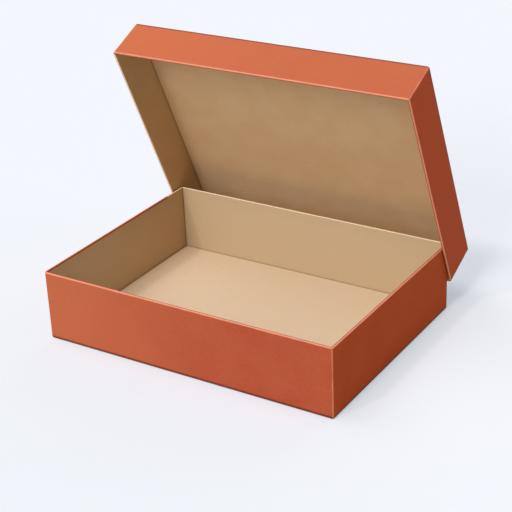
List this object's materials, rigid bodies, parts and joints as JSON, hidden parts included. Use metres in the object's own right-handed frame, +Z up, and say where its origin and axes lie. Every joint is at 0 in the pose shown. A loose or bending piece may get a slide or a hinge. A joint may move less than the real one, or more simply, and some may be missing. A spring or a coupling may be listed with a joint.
{
  "type": "hinged-lid cardboard box",
  "caption": "Shallow rigid cardboard box covered in terracotta paper, with a telescoping lid hinged on a paper crease along its rear wall, standing open.",
  "frame": {"origin": "centre of the tray's underside, on the surface that the box stands on", "axes": "+X along the hinge and the long walls, to the right as seen from the front; -Y towards the front wall; +Z up"},
  "size_m": [0.336, 0.2898, 0.2804],
  "materials": {
    "tray_board": "natural unbleached kraft face, matt",
    "tray_cover_paper": "dyed terracotta cover paper, matt with a slight sheen on the folds",
    "lid_board": "natural unbleached kraft face, matt",
    "lid_cover_paper": "dyed terracotta cover paper, matt with a slight sheen on the folds"
  },
  "bodies": {
    "tray": {"tray_board": "tray_board", "tray_cover_paper": "tray_cover_paper"},
    "lid": {"lid_board": "lid_board", "lid_cover_paper": "lid_cover_paper"}
  },
  "joints": [
    {"name": "lid_hinge", "type": "hinge", "parent": "tray", "child": "lid", "pos_m": [0, 0.1248, 0.0298], "axis": [-1, 0, 0], "range_deg": [-66, 59]}
  ]
}
